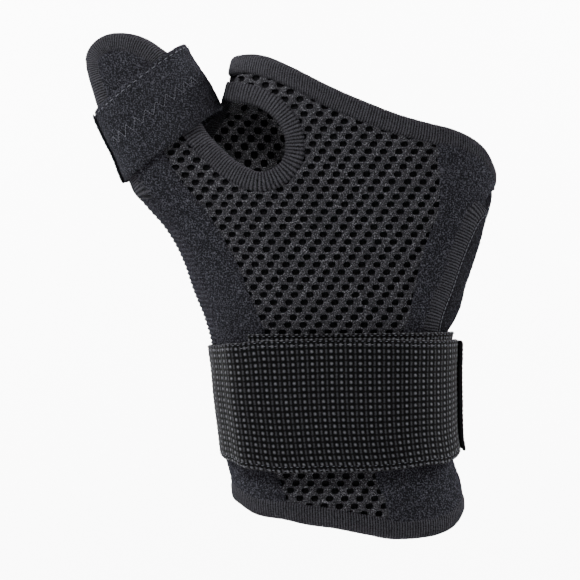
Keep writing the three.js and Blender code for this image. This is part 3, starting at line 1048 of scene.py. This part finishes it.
def strap_place(u, v):
    into, out, side, lift = roll(v, LOOP_WIDTH, 0.9, 2.5)
    base = strap_path(2 * np.pi * u, into - LOOP_WIDTH / 2, out)
    fuzz = 0.25 * grain(base, 1.1, 4)
    place = into - LOOP_WIDTH / 2 + side * fuzz
    return strap_path(2 * np.pi * u, place, out + lift * fuzz)


bm, layer = new_mesh()
tape(bm, layer, 260, 120, (110, 54), strap_place)
turns = np.linspace(0, 2 * np.pi, 600)
sew(bm, strap_path(turns, 11.2 + 0 * turns, 2.8 + 0 * turns), 1.6, 1.0, 0.17)
turns = np.linspace(0.55, 2.5, 400)
zigzag = 3.4 * np.abs((turns * 10) % 2 - 1) - 1.7
sew(bm, strap_path(turns, zigzag, 2.76 + 0 * turns), 0.8, 0.08, 0.11)
strap = mesh_piece("thumb_strap", bm, "strap_fleece", strap_cloth, thread_cloth)


# Hook tab of the thumb strap: a piece of moulded hook tape sewn under its end, with the end
# of the loop tape standing off a little.
TAB_WIDTH = 24.5
hook_cloth = fabric("hook tape", (0.004, 0.004, 0.0045), 0.8, 0.0)[0]


def teeth(base, pitch):
    spots = base / pitch
    return np.abs(np.sin(np.pi * spots[:, 0] * 1.3) * np.sin(np.pi * spots[:, 2]))


def tab_place(u, v):
    into, out, _, lift = roll(v, TAB_WIDTH, 2.8, 3.3)
    angle = 0.2 - 1.48 * u
    base = strap_path(angle, into - TAB_WIDTH / 2, out)
    return strap_path(angle, into - TAB_WIDTH / 2, out + 0.25 * teeth(base, 1.1) * lift)


bm, layer = new_mesh()
tape(bm, layer, 60, 100, (24, 52), tab_place)
mesh_piece("thumb_strap_tab", bm, "hook_tape", hook_cloth)


# Wrist strap: 44 mm woven elastic, wrapped one and a half turns over its own start, with
# lines of dashes and dots in the weave and a selvedge along both edges.
STRAP_WIDTH = 44
FIRST_TURN, LAST_TURN = -126, 369
# turn in degrees, layer, top and bottom edge in hundredths of the strap's width
COURSE = np.array(
    [
        (FIRST_TURN, 0, 55.5, -43),
        (-60, 0, 56.5, -44),
        (0, 0, 57, -37),
        (90, 0, 51, -44),
        (180, 0, 46.5, -38.5),
        (205, 0, 47, -42),
        (225, 1, 48.5, -46.5),
        (245, 1, 51, -49),
        (275, 1, 52.5, -47.5),
        (320, 1, 51, -43),
        (360, 1, 51, -35.5),
        (LAST_TURN, 1, 51, -35.5),
    ]
)


def wrist_path(turn, share, out):
    i = np.clip(np.searchsorted(COURSE[:, 0], turn) - 1, 0, len(COURSE) - 2)
    t = np.clip((turn - COURSE[i, 0]) / (COURSE[i + 1, 0] - COURSE[i, 0]), 0, 1)
    t = t * t * (3 - 2 * t)
    layer, top, bottom = (COURSE[i, k] * (1 - t) + COURSE[i + 1, k] * t for k in (1, 2, 3))
    height = (bottom + (top - bottom) * share) * STRAP_WIDTH / 100
    angle = np.radians(turn)
    out = out + 2 * layer + 0.6
    left, right = track(PALM, LEFT, height), track(PALM, RIGHT, height)
    deep = np.where(np.sin(angle) < 0, track(PALM, FRONT, height), track(PALM, BACK, height))
    flat = np.sign(np.cos(angle)) * np.abs(np.cos(angle)) ** (2 / 2.4)
    rise = np.sign(np.sin(angle)) * np.abs(np.sin(angle)) ** (2 / 2.4)
    across = (left + right) / 2 + (right - left) / 2 * flat
    out = out + swell(across, height)
    return np.stack([across + out * flat, (deep + out) * rise, height], axis=-1)


turns = np.linspace(FIRST_TURN, LAST_TURN, 991)
middle = wrist_path(turns, 0.5, 1.7)
reach = np.append(0, np.cumsum(np.linalg.norm(np.diff(middle, axis=0), axis=1)))
strap_length = reach[-1]


LINE_PITCH, ROW_PITCH = 3.1, 2.1


def weave(run, rise):
    line = np.abs((run / LINE_PITCH) % 1 - 0.5)
    row = np.cos(2 * np.pi * rise / ROW_PITCH)
    dash = np.clip(1 - line / 0.16, 0, 1) * (0.6 + 0.4 * row)
    dots = np.clip(line / 0.5 - 0.55, 0, 1) * np.clip(row, 0, 1) * 2
    return dash + dots


def wrist_place(u, v):
    into, out, _, lift = roll(v, STRAP_WIDTH, 0, 1.5, 6)
    run = u * strap_length
    turn = np.interp(run, reach, turns)
    body = np.clip((np.minimum(into, STRAP_WIDTH - into) - 2.2) / 0.4, 0, 1)
    return wrist_path(turn, into / STRAP_WIDTH, out + lift * 0.22 * body * weave(run, into))


elastic_cloth, elastic_shader = fabric("woven elastic", (0.006, 0.006, 0.007), 0.8, 0.02)


def elastic_pattern(material):
    flat = material.node_tree.nodes.new("ShaderNodeUVMap")
    flat.uv_map = "cloth"
    split = add_node(material, "ShaderNodeSeparateXYZ", Vector=flat.outputs["UV"])
    run, rise = split.outputs["X"], split.outputs["Y"]
    line, row = from_line(material, run, LINE_PITCH), from_line(material, rise, ROW_PITCH)
    dash = calc(material, "MULTIPLY", near(material, line, 0.6), near(material, row, 1.3))
    between = calc(material, "SUBTRACT", LINE_PITCH / 2, line)
    apart = calc(
        material,
        "SQRT",
        calc(
            material,
            "ADD",
            calc(material, "MULTIPLY", between, between),
            calc(material, "MULTIPLY", row, row),
        ),
    )
    dots = calc(material, "MULTIPLY", near(material, apart, 0.75), 1.6)
    half = from_line(material, calc(material, "ADD", rise, ROW_PITCH / 2), ROW_PITCH / 2)
    small = calc(material, "MULTIPLY", near(material, half, 0.5), 0.16)
    both = calc(material, "ADD", calc(material, "MULTIPLY", dash, 0.7), dots)
    return calc(material, "ADD", both, small)


elastic_relief = calc(
    elastic_cloth,
    "MULTIPLY",
    elastic_pattern(elastic_cloth),
    calc(elastic_cloth, "ADD", speckle(elastic_cloth, 0.5), 0.35),
)
shade(
    elastic_cloth,
    elastic_shader,
    elastic_relief,
    (0.0012, 0.0012, 0.0013),
    (0.036, 0.036, 0.04),
    0.15,
    1.3,
)
bump(elastic_cloth, elastic_shader, elastic_relief, 0.3)
bm, layer = new_mesh()
tape(bm, layer, 520, 150, (strap_length, 91), wrist_place)
turns = np.linspace(FIRST_TURN, LAST_TURN, 2000)
for share in (0.018, 0.045, 0.955, 0.982):
    sew(bm, wrist_path(turns, share + 0 * turns, 1.5 + 0 * turns), 0.9, 1.1, 0.14)
wrist = mesh_piece("wrist_strap", bm, "elastic", elastic_cloth, thread_cloth)


# Hook tab of the wrist strap: moulded hook tape at its outer end, seen edge on at the
# little-finger side.
def wrist_tab_place(u, v):
    into, out, _, lift = roll(v, STRAP_WIDTH - 1, 2.0, 3.3)
    turn, share = 353 + 18 * u, (into + 0.5) / STRAP_WIDTH
    base = wrist_path(turn, share, out)
    return wrist_path(turn, share, out + lift * 0.35 * teeth(base, 1.2))


bm, layer = new_mesh()
tape(bm, layer, 30, 110, (14, 90), wrist_tab_place)
mesh_piece("wrist_strap_tab", bm, "hook_tape", hook_cloth)


# Studio: a pale floor that sweeps up behind, a soft key from the upper left and a level camera
# as far off as the photograph's.
bm = bmesh.new()
bmesh.ops.create_grid(bm, x_segments=1, y_segments=24, size=0.5)
for vert in bm.verts:
    share = vert.co.y + 0.5
    lift = max(share - 0.5, 0) * 2
    vert.co = Vector((vert.co.x * 12, -3 + share * 6, -0.3 + 4 * lift**3))
mesh = bpy.data.meshes.new("floor")
bm.to_mesh(mesh)
bm.free()
for polygon in mesh.polygons:
    polygon.use_smooth = True
floor = bpy.data.objects.new("floor", mesh)
bpy.context.scene.collection.objects.link(floor)
pale = bpy.data.materials.new("pale floor")
pale.use_nodes = True
pale.node_tree.nodes["Principled BSDF"].inputs["Base Color"].default_value = (0.9, 0.9, 0.9, 1)
pale.node_tree.nodes["Principled BSDF"].inputs["Roughness"].default_value = 0.9
mesh.materials.append(pale)

world = bpy.data.worlds.new("studio")
bpy.context.scene.world = world
world.use_nodes = True
world.node_tree.nodes["Background"].inputs["Color"].default_value = (1, 1, 1, 1)
world.node_tree.nodes["Background"].inputs["Strength"].default_value = 0.2


def soft_light(name, place, aim, size, power):
    lamp = bpy.data.lights.new(name, "AREA")
    lamp.shape = "DISK"
    lamp.size = size
    lamp.energy = power
    made = bpy.data.objects.new(name, lamp)
    made.location = place
    made.rotation_euler = (Vector(aim) - Vector(place)).to_track_quat("-Z", "Y").to_euler()
    bpy.context.scene.collection.objects.link(made)


soft_light("key", (-0.2, -0.29, 0.38), (-0.04, 0, 0.1), 0.16, 8.2)
soft_light("side", (0.6, -0.3, 0.4), (-0.01, 0, 0.05), 0.3, 2.2)
soft_light("front", (0.1, -0.9, 0.16), (-0.01, 0, 0.06), 0.4, 2.3)
soft_light("backdrop left", (-1.8, 0.6, 1.2), (0, 2.6, 0.4), 1.0, 520)
soft_light("backdrop right", (1.8, 0.6, 1.2), (0, 2.6, 0.4), 1.0, 520)

camera = bpy.data.cameras.new("camera")
camera.lens = 150
camera.sensor_width = 36
camera.clip_start = 0.01
view = bpy.data.objects.new("camera", camera)
view.location = (-0.0146, -0.822, 0.0391)
view.rotation_euler = (math.pi / 2, 0, 0)
bpy.context.scene.collection.objects.link(view)
bpy.context.scene.camera = view
